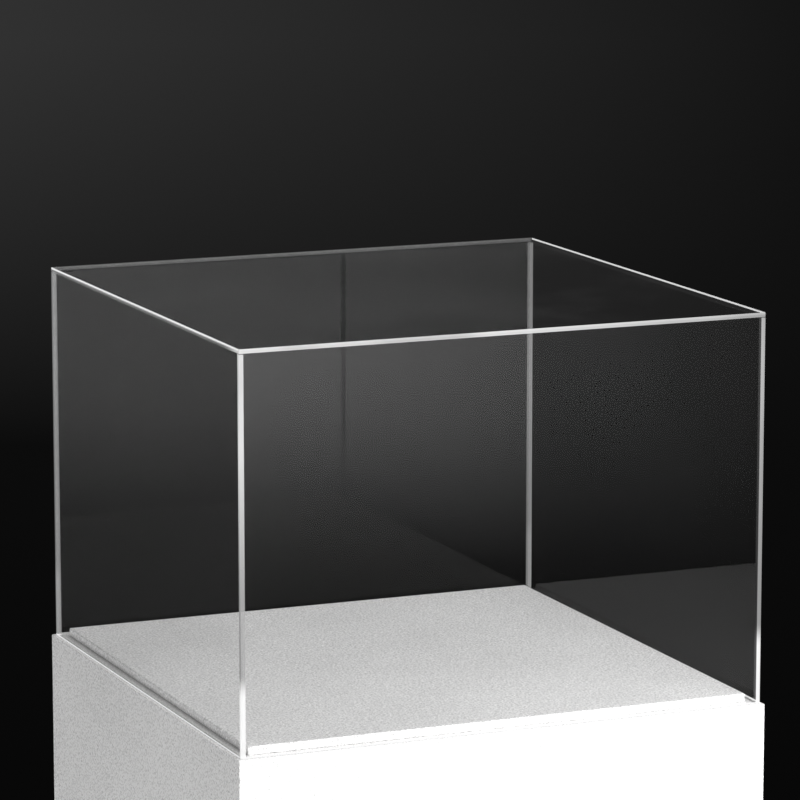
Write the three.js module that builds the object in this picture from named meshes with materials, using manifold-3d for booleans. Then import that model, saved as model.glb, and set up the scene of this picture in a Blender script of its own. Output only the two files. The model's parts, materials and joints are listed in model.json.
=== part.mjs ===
// A museum-style display case: a clear acrylic dust cover that lifts off a white plinth.
// Millimetres, +Z up. The origin is on the floor under the middle of the plinth.
// The front is -Y, and left and right are as seen by someone standing in front of it.

import * as THREE from 'three';
import { mergeVertices } from 'three/addons/utils/BufferGeometryUtils.js';
import Module from 'manifold-3d';

const wasm = await Module();
wasm.setup();

// ---- driving dimensions ----

// the acrylic cover, outside sizes
const coverWidth = 500;
const coverDepth = 500;
const coverHeight = 357.5; // from the plinth's top to the top of the cover
const wallSheet = 4; // sheet of the four walls
const topSheet = 4; // sheet of the top panel, which lies over the walls
const cementLine = 0.1; // gap at each cemented joint
const coverSeat = 0.2; // gap under the cover's foot

// the raised deck that holds the exhibit and keeps the cover in its place
const deckThickness = 8;
const deckClearance = 6; // from the inside of the cover to the deck's edge

// the plinth
const plinthHeight = 600; // from the floor to the plinth's top
const coverRim = 3.5; // how far the plinth stands out past the cover
const sideBoard = 16; // board of the four mitred sides
const topBoard = 16;
const bottomBoard = 16;
const floorGap = 6; // from the floor to the lower edge of the sides
const bottomRecess = 10; // from that edge up to the bottom board
const glueLine = 0.2; // gap at each glued joint

// softwood inside the plinth
const battenSize = 30;
const cleatWidth = 30;
const cleatHeight = 20;

// countersunk wood screws
const screwShank = 4;
const screwHead = 8;
const screwHeadDepth = 2.2;
const screwPoint = 3;
const screwClearance = 0.15; // round a screw and past its point
const deckScrewLength = 20.5;
const cleatScrewLength = 30;
const baseScrewLength = 40;
const deckScrewInset = 90; // from the deck's edges to a deck screw
const cleatScrewInset = 60; // from a cleat's end to a cleat screw

// levelling feet
const footSetback = 22; // from the inner face of a batten to a foot's axis
const threadDiameter = 8;
const threadLength = 34;
const threadPoint = 1.2;
const threadClearance = 0.2; // between the stem and the insert's bore
const hexAcross = 13; // across the flats
const hexHeight = 5;
const hexGap = 0.3; // under the insert's flange, with the foot screwed right in
const insertDiameter = 12;
const insertLength = 14;
const insertFlange = 18;
const insertFlangeThickness = 1.5;
const insertClearance = 0.2; // round the insert and above its flange
const padDiameter = 40;
const padHeight = 8;
const padRim = 3.5; // height of the pad's upright rim
const padEase = 1;
const padBoss = 18;
const padBossLip = 1; // height of the boss's upright edge
const swivelDiameter = 11; // the button on the stem's lower end
const swivelHeight = 3;
const swivelClearance = 0.4;
const swivelNeck = 6;
const padFloor = 2.4; // thickness of the pad under the button

// ---- worked out from them ----

const plinthWidth = coverWidth + 2 * coverRim;
const plinthDepth = coverDepth + 2 * coverRim;
const innerWidth = plinthWidth - 2 * (sideBoard + glueLine);
const innerDepth = plinthDepth - 2 * (sideBoard + glueLine);
const deckWidth = coverWidth - 2 * (wallSheet + deckClearance);
const deckDepth = coverDepth - 2 * (wallSheet + deckClearance);
const deckFoot = plinthHeight + glueLine;
const topBoardFoot = plinthHeight - topBoard;
const bottomBoardFoot = floorGap + bottomRecess;
const bottomBoardTop = bottomBoardFoot + bottomBoard;
const cleatFoot = topBoardFoot - glueLine - cleatHeight;
const battenX = innerWidth / 2 - battenSize / 2;
const battenY = innerDepth / 2 - battenSize / 2;
const footX = battenX - battenSize / 2 - footSetback;
const footY = battenY - battenSize / 2 - footSetback;
const insertFlangeFoot = bottomBoardFoot - insertClearance - insertFlangeThickness;
const hexTop = insertFlangeFoot - hexGap;
const swivelFoot = padFloor + swivelClearance;

const corners = [
  ['front_left', -1, -1],
  ['front_right', 1, -1],
  ['back_right', 1, 1],
  ['back_left', -1, 1],
];

const roundSides = 32; // sides of the feet and inserts
const screwSides = 16; // sides of the screws and their holes

// ---- materials ----

const material = (color, roughness, metalness = 0, opacity = 1) =>
  new THREE.MeshStandardMaterial({ color, roughness, metalness, opacity, transparent: opacity < 1 });

const clearAcrylic = () => material(0xe9eef0, 0.03, 0, 0.25);
const whiteLacquer = () => material(0xf4f4f2, 0.4);
const deckLacquer = () => material(0xe6e5e2, 0.5);
const rawBoard = () => material(0xb99a72, 0.85);
const softwood = () => material(0xd8b684, 0.8);
const zincSteel = () => material(0xb9bcc0, 0.35, 0.9);
const blackNylon = () => material(0x1d1d1f, 0.6);

// ---- helpers ----

function mesh(name, geometry, finish, x = 0, y = 0, z = 0) {
  const piece = new THREE.Mesh(geometry, finish);
  piece.name = name;
  piece.position.set(x, y, z);
  return piece;
}

// a board whose own origin is in the middle of its underside
function board(width, depth, height) {
  return new THREE.BoxGeometry(width, depth, height).translate(0, 0, height / 2);
}

// a shape turned about Z from [radius, height] points
function turned(points, sides) {
  const profile = points.map(([radius, height]) => new THREE.Vector2(radius, height));
  return new THREE.LatheGeometry(profile, sides).rotateX(Math.PI / 2);
}

function solid(geometry) {
  const bare = geometry.clone();
  bare.deleteAttribute('normal');
  bare.deleteAttribute('uv');
  const merged = mergeVertices(bare, 1e-4);
  return new wasm.Manifold(new wasm.Mesh({
    numProp: 3,
    vertProperties: new Float32Array(merged.attributes.position.array),
    triVerts: new Uint32Array(merged.index.array),
  }));
}

function geometryOf(manifold) {
  const { vertProperties, triVerts } = manifold.getMesh();
  const geometry = new THREE.BufferGeometry();
  geometry.setAttribute('position', new THREE.BufferAttribute(vertProperties, 3));
  geometry.setIndex(new THREE.BufferAttribute(triVerts, 1));
  geometry.computeVertexNormals();
  return geometry;
}

function cut(geometry, cutters) {
  const left = cutters.reduce((rest, cutter) => rest.subtract(solid(cutter)), solid(geometry));
  return geometryOf(left);
}

// a round hole's cutter, running past both faces of a board
const holeRunout = 1;
function holeCutter(diameter, depth, x, y) {
  const cutter = new THREE.CylinderGeometry(diameter / 2, diameter / 2, depth + 2 * holeRunout, roundSides);
  return cutter.rotateX(Math.PI / 2).translate(x, y, depth / 2);
}

// ---- screws: head down, origin in the middle of the head's face ----

function screwProfile(length, grown = 0) {
  const head = screwHead / 2 + grown;
  const shank = screwShank / 2 + grown;
  return [
    [0, -grown],
    [head, -grown],
    [shank, screwHeadDepth],
    [shank, length - screwPoint],
    [0, length + grown],
  ];
}

const woodScrew = (length) => turned(screwProfile(length), screwSides);

// the room for a screw in a piece that starts `entry` mm along it
function screwRoom(length, x, y, entry = 0) {
  return turned(screwProfile(length, screwClearance), screwSides).translate(x, y, -entry);
}

const deckScrewX = deckWidth / 2 - deckScrewInset;
const deckScrewY = deckDepth / 2 - deckScrewInset;
const cleatLengthX = innerWidth - 2 * (battenSize + glueLine);
const cleatLengthY = innerDepth - 2 * (battenSize + glueLine);
const cleatScrewX = cleatLengthX / 2 - cleatScrewInset;
const cleatScrewY = cleatLengthY / 2 - cleatScrewInset;

// ---- the acrylic cover ----

function makeCover() {
  const wallHeight = coverHeight - coverSeat - cementLine - topSheet;
  const sideLength = coverDepth - 2 * (wallSheet + cementLine);
  const wallX = coverWidth / 2 - wallSheet / 2;
  const wallY = coverDepth / 2 - wallSheet / 2;
  const faceWall = () => board(coverWidth, wallSheet, wallHeight);
  const sideWall = () => board(wallSheet, sideLength, wallHeight);
  const cover = new THREE.Group();
  cover.position.z = plinthHeight + coverSeat;
  cover.add(
    mesh('cover_front_panel', faceWall(), clearAcrylic(), 0, -wallY),
    mesh('cover_back_panel', faceWall(), clearAcrylic(), 0, wallY),
    mesh('cover_left_panel', sideWall(), clearAcrylic(), -wallX, 0),
    mesh('cover_right_panel', sideWall(), clearAcrylic(), wallX, 0),
    mesh('cover_top_panel', board(coverWidth, coverDepth, topSheet), clearAcrylic(),
      0, 0, wallHeight + cementLine),
  );
  return cover;
}

// ---- the deck and its screws ----

function makeDeck() {
  const entry = deckFoot - topBoardFoot;
  const rooms = corners.map(([, sx, sy]) =>
    screwRoom(deckScrewLength, sx * deckScrewX, sy * deckScrewY, entry));
  const deck = new THREE.Group();
  deck.add(mesh('display_deck', cut(board(deckWidth, deckDepth, deckThickness - glueLine), rooms),
    deckLacquer(), 0, 0, deckFoot));
  for (const [corner, sx, sy] of corners) {
    deck.add(mesh(`deck_screw_${corner}`, woodScrew(deckScrewLength), zincSteel(),
      sx * deckScrewX, sy * deckScrewY, topBoardFoot));
  }
  return deck;
}

// ---- the plinth's boards ----

// a side whose ends are mitred, with its outer face on -Y and its origin under that face
function mitredSide(length) {
  const cutBack = glueLine / Math.SQRT2;
  const outer = length / 2 - cutBack;
  const inner = outer - sideBoard;
  const outline = new THREE.Shape()
    .moveTo(-outer, 0)
    .lineTo(outer, 0)
    .lineTo(inner, sideBoard)
    .lineTo(-inner, sideBoard);
  return new THREE.ExtrudeGeometry(outline, { depth: plinthHeight - floorGap, bevelEnabled: false });
}

function makeSides() {
  const sides = new THREE.Group();
  sides.position.z = floorGap;
  const places = [
    ['front', plinthWidth, 0, -plinthDepth / 2, 0],
    ['right', plinthDepth, plinthWidth / 2, 0, 1],
    ['back', plinthWidth, 0, plinthDepth / 2, 2],
    ['left', plinthDepth, -plinthWidth / 2, 0, 3],
  ];
  for (const [side, length, x, y, quarters] of places) {
    const panel = mesh(`plinth_${side}_panel`, mitredSide(length), whiteLacquer(), x, y);
    panel.rotation.z = quarters * Math.PI / 2;
    sides.add(panel);
  }
  return sides;
}

// the cleats lie along the sides, and this gives each one's name, middle, sizes and screws
function cleatPlaces() {
  const x = innerWidth / 2 - cleatWidth / 2;
  const y = innerDepth / 2 - cleatWidth / 2;
  const pairX = [[-cleatScrewX, 0], [cleatScrewX, 0]];
  const pairY = [[0, -cleatScrewY], [0, cleatScrewY]];
  const alongX = { width: cleatLengthX, depth: cleatWidth, screws: pairX };
  const alongY = { width: cleatWidth, depth: cleatLengthY, screws: pairY };
  return [
    { side: 'front', x: 0, y: -y, ...alongX },
    { side: 'back', x: 0, y, ...alongX },
    { side: 'left', x: -x, y: 0, ...alongY },
    { side: 'right', x, y: 0, ...alongY },
  ];
}

function makeTopBoard() {
  const deckRooms = corners.map(([, sx, sy]) =>
    screwRoom(deckScrewLength, sx * deckScrewX, sy * deckScrewY));
  const cleatRooms = cleatPlaces().flatMap(({ x, y, screws }) =>
    screws.map(([dx, dy]) => screwRoom(cleatScrewLength, x + dx, y + dy, topBoardFoot - cleatFoot)));
  const blank = board(innerWidth, innerDepth, topBoard);
  return mesh('plinth_top_board', cut(blank, [...deckRooms, ...cleatRooms]), rawBoard(), 0, 0, topBoardFoot);
}

function makeCleats() {
  const cleats = new THREE.Group();
  cleats.position.z = cleatFoot;
  for (const { side, x, y, width, depth, screws } of cleatPlaces()) {
    const rooms = screws.map(([dx, dy]) => screwRoom(cleatScrewLength, dx, dy));
    cleats.add(mesh(`top_cleat_${side}`, cut(board(width, depth, cleatHeight), rooms), softwood(), x, y));
    screws.forEach(([dx, dy], index) => {
      cleats.add(mesh(`cleat_screw_${side}_${index + 1}`, woodScrew(cleatScrewLength), zincSteel(),
        x + dx, y + dy));
    });
  }
  return cleats;
}

function makeBottomBoard() {
  const screwRooms = corners.map(([, sx, sy]) => screwRoom(baseScrewLength, sx * battenX, sy * battenY));
  const insertHoles = corners.map(([, sx, sy]) =>
    holeCutter(insertDiameter + 2 * insertClearance, bottomBoard, sx * footX, sy * footY));
  const blank = board(innerWidth, innerDepth, bottomBoard);
  return mesh('plinth_bottom_board', cut(blank, [...screwRooms, ...insertHoles]), rawBoard(),
    0, 0, bottomBoardFoot);
}

function makeBattens() {
  const foot = bottomBoardTop + glueLine;
  const height = topBoardFoot - glueLine - foot;
  const battens = new THREE.Group();
  for (const [corner, sx, sy] of corners) {
    const room = screwRoom(baseScrewLength, 0, 0, foot - bottomBoardFoot);
    battens.add(
      mesh(`corner_batten_${corner}`, cut(board(battenSize, battenSize, height), [room]), softwood(),
        sx * battenX, sy * battenY, foot),
      mesh(`base_screw_${corner}`, woodScrew(baseScrewLength), zincSteel(),
        sx * battenX, sy * battenY, bottomBoardFoot),
    );
  }
  return battens;
}

// ---- the levelling feet ----

function footInsert() {
  const bore = threadDiameter / 2 + threadClearance;
  const sleeve = insertDiameter / 2;
  const flange = insertFlange / 2;
  return turned([
    [bore, 0],
    [flange, 0],
    [flange, insertFlangeThickness],
    [sleeve, insertFlangeThickness],
    [sleeve, insertLength],
    [bore, insertLength],
    [bore, 0],
  ], roundSides);
}

function footStem() {
  const thread = threadDiameter / 2;
  const top = hexTop + threadLength;
  const shaft = turned([
    [0, swivelFoot],
    [swivelDiameter / 2, swivelFoot],
    [swivelDiameter / 2, swivelFoot + swivelHeight / 2],
    [swivelNeck / 2, swivelFoot + swivelHeight],
    [swivelNeck / 2, hexTop - hexHeight / 2],
    [thread, hexTop - hexHeight / 2],
    [thread, top - threadPoint],
    [thread - threadPoint, top],
    [0, top],
  ], roundSides);
  const hexRadius = hexAcross / 2 / Math.cos(Math.PI / 6);
  const hex = new THREE.CylinderGeometry(hexRadius, hexRadius, hexHeight, 6)
    .rotateX(Math.PI / 2)
    .translate(0, 0, hexTop - hexHeight / 2);
  return geometryOf(solid(shaft).add(solid(hex)));
}

function footPad() {
  const outer = padDiameter / 2;
  const boss = padBoss / 2;
  const well = swivelDiameter / 2 + swivelClearance;
  return turned([
    [0, 0],
    [outer - padEase, 0],
    [outer, padEase],
    [outer, padRim],
    [boss, padHeight - padBossLip],
    [boss, padHeight],
    [well, padHeight],
    [well, padFloor],
    [0, padFloor],
  ], roundSides);
}

function makeFeet() {
  const feet = new THREE.Group();
  for (const [corner, sx, sy] of corners) {
    const foot = new THREE.Group();
    foot.position.set(sx * footX, sy * footY, 0);
    foot.add(
      mesh(`foot_insert_${corner}`, footInsert(), zincSteel(), 0, 0, insertFlangeFoot),
      mesh(`foot_stem_${corner}`, footStem(), zincSteel()),
      mesh(`foot_pad_${corner}`, footPad(), blackNylon()),
    );
    feet.add(foot);
  }
  return feet;
}

// ---- the whole case ----

const displayCase = new THREE.Group();
displayCase.add(
  makeCover(),
  makeDeck(),
  makeTopBoard(),
  makeSides(),
  makeCleats(),
  makeBattens(),
  makeBottomBoard(),
  makeFeet(),
);

export default displayCase;
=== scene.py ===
"""The looks of a museum-style display case: a clear acrylic cover over a white lacquered plinth.

Metres, +Z up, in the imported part's own frame. The front is -Y.
"""

import json
import math
from itertools import product

import bmesh
import bpy
from mathutils import Matrix, Vector

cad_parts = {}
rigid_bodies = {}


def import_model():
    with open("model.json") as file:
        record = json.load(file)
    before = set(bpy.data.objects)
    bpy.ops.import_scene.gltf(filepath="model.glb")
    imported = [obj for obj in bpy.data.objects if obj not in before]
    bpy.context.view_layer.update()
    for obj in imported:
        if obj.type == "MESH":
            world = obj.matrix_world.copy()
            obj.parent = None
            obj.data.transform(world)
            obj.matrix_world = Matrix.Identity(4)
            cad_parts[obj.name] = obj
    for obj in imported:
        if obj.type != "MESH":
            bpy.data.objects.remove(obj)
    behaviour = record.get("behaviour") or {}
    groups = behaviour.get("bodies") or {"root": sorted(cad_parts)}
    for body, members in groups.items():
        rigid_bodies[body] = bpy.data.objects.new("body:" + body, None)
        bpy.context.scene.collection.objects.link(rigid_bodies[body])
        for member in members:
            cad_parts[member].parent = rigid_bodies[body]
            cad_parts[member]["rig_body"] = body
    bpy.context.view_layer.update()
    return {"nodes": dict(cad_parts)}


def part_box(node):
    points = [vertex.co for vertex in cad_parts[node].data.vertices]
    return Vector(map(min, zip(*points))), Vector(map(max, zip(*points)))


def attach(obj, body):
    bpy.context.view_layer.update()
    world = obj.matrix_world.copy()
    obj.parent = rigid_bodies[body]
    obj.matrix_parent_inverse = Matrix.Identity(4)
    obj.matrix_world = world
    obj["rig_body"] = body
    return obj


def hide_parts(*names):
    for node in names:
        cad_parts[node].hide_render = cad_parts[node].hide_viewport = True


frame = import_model()

MM = 0.001
MERGE = 0.001 * MM          # points nearer than this are one point
SAME_LEVEL = 0.01 * MM      # points nearer than this in height or depth lie level
SQUARE = 0.999              # part of a face's normal along an axis when it is square to that axis
SIDES = ("front", "right", "back", "left")
CORNERS = ("front_left", "front_right", "back_right", "back_left")
CLEAT_SCREWS = [f"{side}_{index}" for side, index in product(SIDES, (1, 2))]

# cover
SHEET_EASE = 0.35 * MM      # scraped arris of a polished acrylic edge
FOOT_PAINTED_GLOW = 2.0 * MM        # painted glow: a bright line painted along the walls' foot
CREST_PAINTED_HIGHLIGHT = 2.0 * MM            # painted highlight on the upper part of the top sheet's edges
DECK_BAND = 75 * MM         # how far the painted glow, standing for the deck's light, climbs the front corners
FRONT_BAND = 40 * MM        # how far back from the front the painted glow still shows
TOP_BAND = 10 * MM          # a wall's edge this near to the cover's top is its joint with the top
# plinth and deck
CORNER_EASE = 1.2 * MM      # sanded upright corners of the plinth
RIM_EASE = 0.7 * MM         # sanded top and bottom edges
MITRE_GAP = 0.06 * MM       # from the glued mitre to each board
DECK_EASE = 0.9 * MM
# timber and boards inside
BATTEN_EASE = 1.6 * MM
BOARD_EASE = 0.4 * MM
# levelling feet
THREAD_PITCH = 1.25 * MM
THREAD_DEPTH = 0.72 * MM
HEX_CHAMFER = 0.45 * MM
HEX_FACES = 6
KNURLS = 40
PAD_RIBS = 24
TURNED_SIDES = 96
# wood screws
SCREW_SIDES = 32
SCREW_PITCH = 1.8 * MM
SCREW_ROOT = 0.68           # core of the thread, as a share of the shank
RECESS_DEPTH = 1.7 * MM
RECESS_REACH = 2.2 * MM     # from the middle to the end of each wing
RECESS_WING = 1.0 * MM      # width of a wing
RECESS_TAPER = 0.45         # width at the bottom of the recess, as a share of its mouth
SCREW_POINT = 3.4 * MM      # length of the point

cover_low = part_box("cover_front_panel")[0]
cover_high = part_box("cover_top_panel")[1]
walls_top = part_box("cover_top_panel")[0].z
inner_half = -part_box("cover_left_panel")[1].x
plinth_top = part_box("plinth_front_panel")[1].z
plinth_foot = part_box("plinth_front_panel")[0].z
plinth_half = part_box("plinth_right_panel")[1].x


# ---------------------------------------------------------------- camera, floor and light

CAMERA_YAW = math.radians(22.886)         # the camera stands to the left of the front
CAMERA_ELEVATION = math.radians(10.409)
CAMERA_DISTANCE = 4.054
CAMERA_LENS = 197.95
AIM_HEIGHT = 0.254                         # above the plinth's top
AIM_SIDE = 0.003                           # to the camera's right of the middle
FLOOR_RADIUS = 1.5
FLOOR_FADE = 0.55                          # where the painted shade at the floor's rim starts


def place_camera():
    """A long lens at the left of the front, looking slightly down on the cover."""
    right = Vector((math.cos(CAMERA_YAW), -math.sin(CAMERA_YAW), 0))
    aim = Vector((0, 0, plinth_top + AIM_HEIGHT)) + right * AIM_SIDE
    level = math.cos(CAMERA_ELEVATION)
    back = Vector((
        -math.sin(CAMERA_YAW) * level,
        -math.cos(CAMERA_YAW) * level,
        math.sin(CAMERA_ELEVATION),
    ))
    camera = bpy.data.objects.new("camera", bpy.data.cameras.new("camera"))
    camera.data.lens = CAMERA_LENS
    camera.data.sensor_width = 36
    camera.location = aim + back * CAMERA_DISTANCE
    camera.rotation_euler = (-back).to_track_quat("-Z", "Y").to_euler()
    bpy.context.scene.collection.objects.link(camera)
    bpy.context.scene.camera = camera
    bpy.context.scene.view_settings.view_transform = "Standard"


def softbox(name, spot, target, width, height, power):
    """A soft rectangular lamp that shines on a target and is never seen or mirrored itself."""
    lamp = bpy.data.lights.new(name, "AREA")
    lamp.shape = "RECTANGLE"
    lamp.size = width
    lamp.size_y = height
    lamp.energy = power
    holder = bpy.data.objects.new(name, lamp)
    holder.location = spot
    holder.rotation_euler = (Vector(target) - Vector(spot)).to_track_quat("-Z", "Y").to_euler()
    holder.visible_camera = False
    holder.visible_glossy = False
    bpy.context.scene.collection.objects.link(holder)


def place_softboxes():
    """A key lamp in front, a low one for the left side and one behind."""
    middle = (0, 0, plinth_top + 0.1)
    softbox("key_softbox", (0.5, -1.4, 1.35), middle, 0.9, 0.9, 33)
    softbox("side_softbox", (-2.4, -0.2, 0.22), (0, 0, plinth_top / 2), 1.6, 0.7, 20.5)
    softbox("back_softbox", (1.4, 2.2, 1.5), middle, 1.4, 1.4, 14)


# ---------------------------------------------------------------- node helpers

def add(tree, kind, inputs=None, **settings):
    """One shader node. Inputs are by name or number, and are values or other nodes' outputs."""
    made = tree.nodes.new(kind)
    for name, value in settings.items():
        setattr(made, name, value)
    for key, value in (inputs or {}).items():
        if isinstance(value, bpy.types.NodeSocket):
            tree.links.new(value, made.inputs[key])
        else:
            made.inputs[key].default_value = value
    return made


def maths(tree, operation, first, second=0.0, clamp=False):
    """One sum of two numbers."""
    return add(tree, "ShaderNodeMath", {0: first, 1: second}, operation=operation,
               use_clamp=clamp).outputs[0]


def ranged(tree, value, low, high, to_low=0.0, to_high=1.0, smooth=True):
    """A value brought from one range to another, eased at both ends."""
    return add(tree, "ShaderNodeMapRange", {0: value, 1: low, 2: high, 3: to_low, 4: to_high},
               interpolation_type="SMOOTHSTEP" if smooth else "LINEAR").outputs[0]


def mixed(tree, factor, first, second):
    """Two colours mixed."""
    return add(tree, "ShaderNodeMix", {0: factor, 6: first, 7: second}, data_type="RGBA").outputs[2]


def mixed_value(tree, factor, first, second):
    """Two numbers mixed."""
    return add(tree, "ShaderNodeMix", {0: factor, 2: first, 3: second}, data_type="FLOAT").outputs[0]


def noise(tree, vector, scale, detail=2.0, roughness=0.5):
    """Cloudy noise from 0 to 1."""
    return add(tree, "ShaderNodeTexNoise",
               {"Vector": vector, "Scale": scale, "Detail": detail, "Roughness": roughness}).outputs[0]


def mapped(tree, vector, scale=(1, 1, 1), turn=(0, 0, 0), shift=(0, 0, 0)):
    """A position squeezed, turned and shifted."""
    return add(tree, "ShaderNodeMapping",
               {"Vector": vector, "Scale": scale, "Rotation": turn, "Location": shift}).outputs[0]


def bumped(tree, height, depth, strength=1.0):
    """A normal from a height mask, whose full depth is in metres."""
    return add(tree, "ShaderNodeBump",
               {"Height": height, "Distance": depth, "Strength": strength}).outputs[0]


def grey(level, warmth=0.0):
    """A grey, warmed a little towards red."""
    return (level * (1 + warmth), level, level * (1 - warmth), 1)


def new_group(name, inputs, outputs):
    """An empty node group with its two ends. Inputs are name: default, outputs are names."""
    tree = bpy.data.node_groups.new(name, "ShaderNodeTree")
    for socket, default in inputs.items():
        if default == "vector":
            tree.interface.new_socket(socket, in_out="INPUT", socket_type="NodeSocketVector")
        else:
            made = tree.interface.new_socket(socket, in_out="INPUT", socket_type="NodeSocketFloat")
            made.default_value = default
    for socket in outputs:
        tree.interface.new_socket(socket, in_out="OUTPUT", socket_type="NodeSocketFloat")
    return tree, tree.nodes.new("NodeGroupInput").outputs, tree.nodes.new("NodeGroupOutput").inputs


def place(tree, group, **inputs):
    """A node group placed in a material; its outputs are returned by name."""
    made = tree.nodes.new("ShaderNodeGroup")
    made.node_tree = group
    for name, value in inputs.items():
        socket = made.inputs[name.replace("_", " ")]
        if isinstance(value, bpy.types.NodeSocket):
            tree.links.new(value, socket)
        else:
            socket.default_value = value
    return made.outputs


def new_material(name):
    """A material with a Principled shader; returns it with its tree, shader and object position."""
    material = bpy.data.materials.new(name)
    material.use_nodes = True
    tree = material.node_tree
    shader = tree.nodes["Principled BSDF"]
    position = add(tree, "ShaderNodeTexCoord").outputs["Object"]
    return material, tree, shader, position


def wire(tree, shader, **inputs):
    """Sets or links sockets of a shader; Base_Color stands for Base Color."""
    for name, value in inputs.items():
        socket = shader.inputs[name.replace("_", " ")]
        if isinstance(value, bpy.types.NodeSocket):
            tree.links.new(value, socket)
        else:
            socket.default_value = value


# ---------------------------------------------------------------- shared effects

def make_speckle():
    """Fine sprayed texture: a shade that wavers round 1, and its height."""
    tree, given, out = new_group(
        "sprayed_speckle", {"Position": "vector", "Size": 900.0, "Contrast": 0.06}, ["Shade", "Height"])
    fine = noise(tree, given["Position"], given["Size"], 2.5, 0.65)
    drift = noise(tree, given["Position"], 7.0, 2.0)
    wander = maths(tree, "ADD", maths(tree, "SUBTRACT", fine, 0.5),
                   maths(tree, "MULTIPLY", maths(tree, "SUBTRACT", drift, 0.5), 0.06))
    shade = maths(tree, "ADD", maths(tree, "MULTIPLY", wander, given["Contrast"]), 1.0)
    tree.links.new(shade, out["Shade"])
    tree.links.new(fine, out["Height"])
    return tree


def make_dust():
    """Settled dust: small specks and a faint film, thicker where the surface faces up."""
    tree, given, out = new_group("settled_dust", {"Position": "vector", "Amount": 0.3}, ["Mask"])
    specks = add(tree, "ShaderNodeTexVoronoi", {"Vector": given["Position"], "Scale": 95.0})
    dots = ranged(tree, specks.outputs["Distance"], 0.05, 0.025)
    chosen = ranged(tree, noise(tree, given["Position"], 23.0, 2.0), 0.52, 0.62)
    film = ranged(tree, noise(tree, given["Position"], 5.0, 4.0, 0.6), 0.42, 0.8, 0.0, 0.28)
    facing = add(tree, "ShaderNodeSeparateXYZ", {0: add(tree, "ShaderNodeNewGeometry").outputs["Normal"]})
    upward = ranged(tree, facing.outputs["Z"], 0.0, 0.9, 0.3, 1.0)
    lying = maths(tree, "ADD", maths(tree, "MULTIPLY", dots, chosen), film)
    mask = maths(tree, "MULTIPLY", maths(tree, "MULTIPLY", lying, upward), given["Amount"], clamp=True)
    tree.links.new(mask, out["Mask"])
    return tree


def make_scratches():
    """Fine hairlines, drawn out along whichever way the position is squeezed."""
    tree, given, out = new_group("hairlines", {"Position": "vector", "Scale": 40.0}, ["Mask", "Height"])
    bend = add(tree, "ShaderNodeTexNoise", {"Vector": given["Position"], "Scale": 2.0, "Detail": 1.0})
    swayed = add(tree, "ShaderNodeVectorMath", {0: bend.outputs["Color"], "Scale": 0.25}, operation="SCALE")
    moved = add(tree, "ShaderNodeVectorMath", {0: given["Position"], 1: swayed.outputs[0]}, operation="ADD")
    lines = noise(tree, moved.outputs[0], given["Scale"], 3.0, 0.6)
    tree.links.new(ranged(tree, lines, 0.56, 0.74), out["Mask"])
    tree.links.new(lines, out["Height"])
    return tree


def painted_window_glow(tree, position, across, above, front):
    """Painted glow in the edges, standing for a window's light: most at the left, in front and high up, and
    in patches.
    """
    left = ranged(tree, across, cover_high.x, cover_low.x, 0.3, 1.0, smooth=False)
    rising = ranged(tree, above, 0.12, 0.34, 0.25, 1.0)
    spread = maths(tree, "MULTIPLY", maths(tree, "MULTIPLY", left, front), rising)
    patches = ranged(tree, noise(tree, position, 7.0, 2.0, 0.55), 0.35, 0.65, 0.6, 1.1)
    return maths(tree, "MULTIPLY", spread, patches)


def painted_deck_glow(tree, above, reach, front, foot):
    """The painted glow standing for the white deck's light: a band up the front corners and a line along
    the walls' foot.
    """
    near_foot = maths(tree, "SUBTRACT", 1.0, maths(tree, "DIVIDE", above, reach), clamp=True)
    band = maths(tree, "MULTIPLY", ranged(tree, near_foot, 0.0, 0.3), front)
    off_rim = ranged(tree, above, 0.21 * MM, 0.3 * MM)
    return maths(tree, "MULTIPLY", maths(tree, "MAXIMUM", band, foot), off_rim)


def painted_crest_highlight(tree, deep, height):
    """A painted highlight on the upper part of the top sheet's left and right edges."""
    crest = ranged(tree, height, cover_high.z - CREST_PAINTED_HIGHLIGHT, cover_high.z - 0.75 * CREST_PAINTED_HIGHLIGHT)
    behind = ranged(tree, deep, cover_high.y - 2 * MM, cover_high.y - MM, 1.0, 0.1)
    ahead = ranged(tree, deep, cover_low.y + 2 * MM, cover_low.y + MM, 1.0, 0.15)
    return maths(tree, "MULTIPLY", crest, maths(tree, "MULTIPLY", behind, ahead))


def painted_border_glow(tree, across, deep, height, foot):
    """A painted bright border on the walls' outer faces, along their foot and up the cemented corners."""
    aside = maths(tree, "ABSOLUTE", across)
    away = maths(tree, "ABSOLUTE", deep)
    nearest = maths(tree, "MINIMUM", aside, away)
    farthest = maths(tree, "MAXIMUM", aside, away)
    upright = ranged(tree, nearest, inner_half - 0.2 * MM, inner_half + 0.2 * MM)
    corner = maths(tree, "MULTIPLY", upright, ranged(tree, height, walls_top, walls_top - MM))
    outer = ranged(tree, farthest, cover_high.x - 1.5 * MM, cover_high.x - MM, 0.0, 0.8)
    return maths(tree, "MULTIPLY", maths(tree, "MAXIMUM", foot, corner), outer)


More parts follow.
